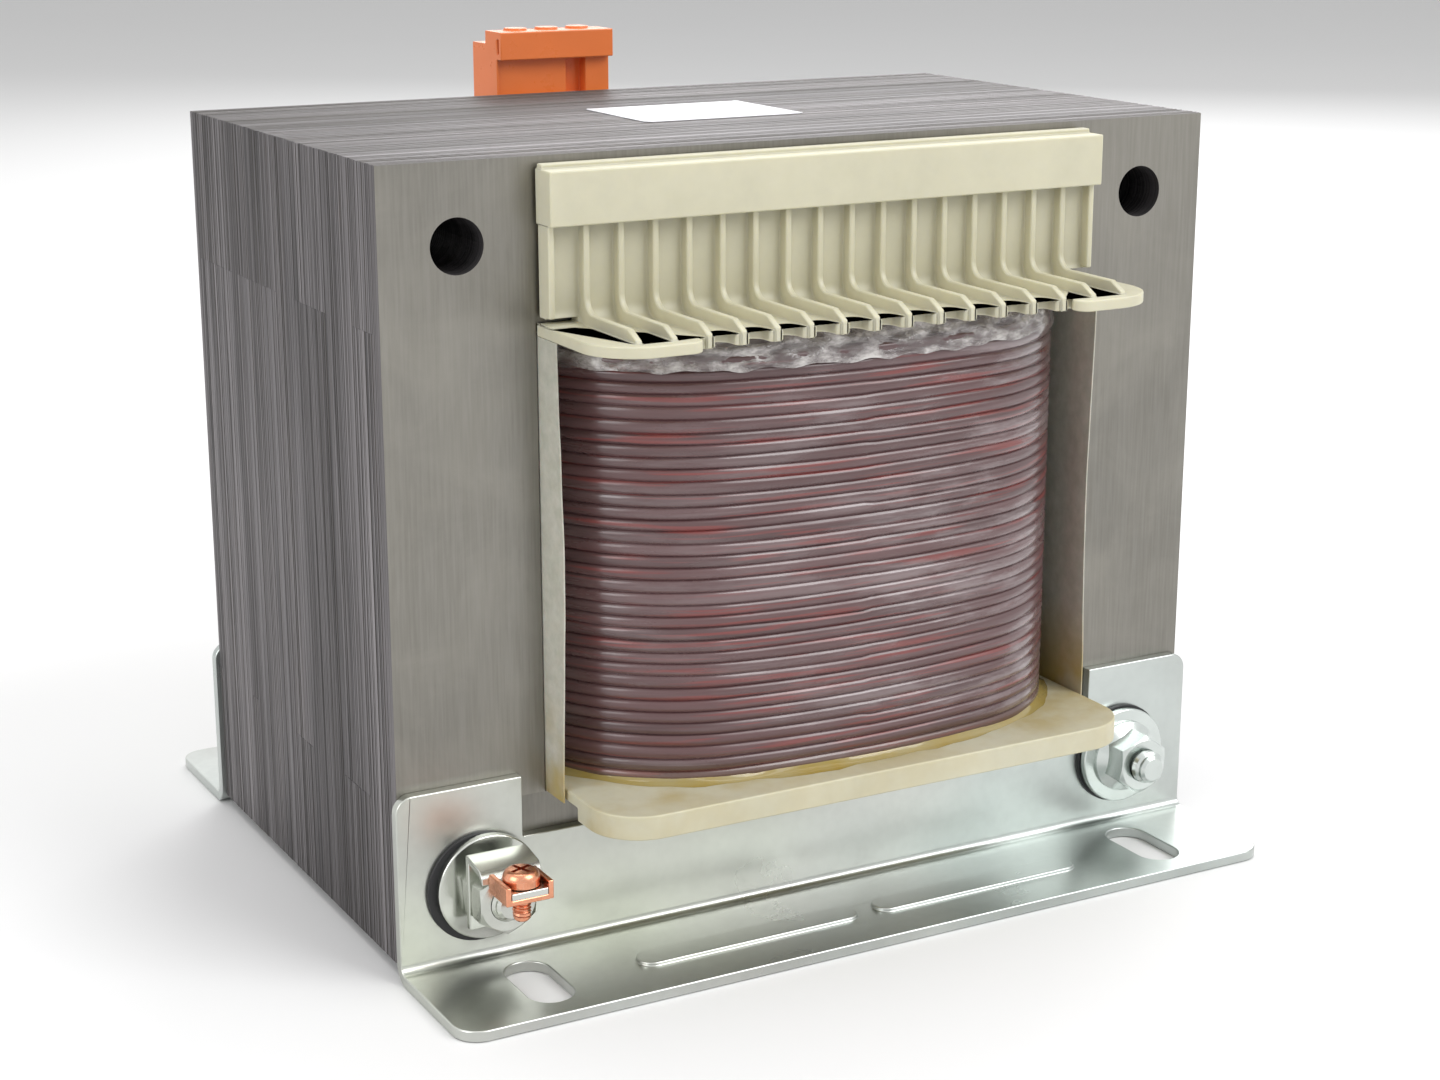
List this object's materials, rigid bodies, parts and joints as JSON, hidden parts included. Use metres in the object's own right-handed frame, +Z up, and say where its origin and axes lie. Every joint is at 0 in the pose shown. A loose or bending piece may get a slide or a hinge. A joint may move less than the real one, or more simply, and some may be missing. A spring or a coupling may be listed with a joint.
{
  "type": "laminated chassis transformer",
  "caption": "Laminated-core transformer on slotted angle brackets, with a ribbed bobbin, a layer-wound coil, an earth clamp and a terminal block.",
  "frame": {"origin": "centre of the footprint, on the mounting surface under the brackets", "axes": "+X along the width of the core, -Y towards the side with the earth clamp, +Z up"},
  "size_m": [0.2126, 0.193, 0.1936],
  "materials": {
    "core_steel": "bare rolled electrical sheet, satin",
    "nylon": "natural glass-filled nylon, slightly translucent",
    "enamel_wire": "enamelled copper under varnish",
    "insulation": "insulating sheet",
    "film": "clear film",
    "zinc": "bright zinc plate",
    "fibre": "black insulating fibre",
    "copper": "bare copper",
    "block": "orange moulded plastic",
    "lead_sleeve": "sleeved wire",
    "label_white": "blank white paper label"
  },
  "bodies": {
    "root": {"e_packet_1": "core_steel", "e_packet_2": "core_steel", "e_packet_3": "core_steel", "e_packet_4": "core_steel", "e_packet_5": "core_steel", "e_packet_6": "core_steel", "e_packet_7": "core_steel", "e_packet_8": "core_steel", "e_packet_9": "core_steel", "i_packet_1": "core_steel", "i_packet_2": "core_steel", "i_packet_3": "core_steel", "i_packet_4": "core_steel", "i_packet_5": "core_steel", "i_packet_6": "core_steel", "i_packet_7": "core_steel", "i_packet_8": "core_steel", "i_packet_9": "core_steel", "bobbin_tube": "nylon", "front_flange": "nylon", "rear_flange": "nylon", "bottom_flange": "nylon", "inner_winding": "enamel_wire", "layer_insulation": "insulation", "outer_winding": "enamel_wire", "coil_film": "film", "left_liner": "insulation", "right_liner": "insulation", "front_bracket": "zinc", "rear_bracket": "zinc", "clamping_bolts": "zinc", "insulating_sleeves": "fibre", "insulating_washers": "fibre", "plain_washers": "zinc", "flange_nut": "zinc", "thin_nut": "zinc", "full_nut": "zinc", "earth_tab": "zinc", "earth_saddle": "copper", "earth_screw": "copper", "terminal_housing": "block", "terminal_cages": "copper", "terminal_screws": "zinc", "lead_wires": "lead_sleeve", "label": "label_white"}
  },
  "joints": []
}
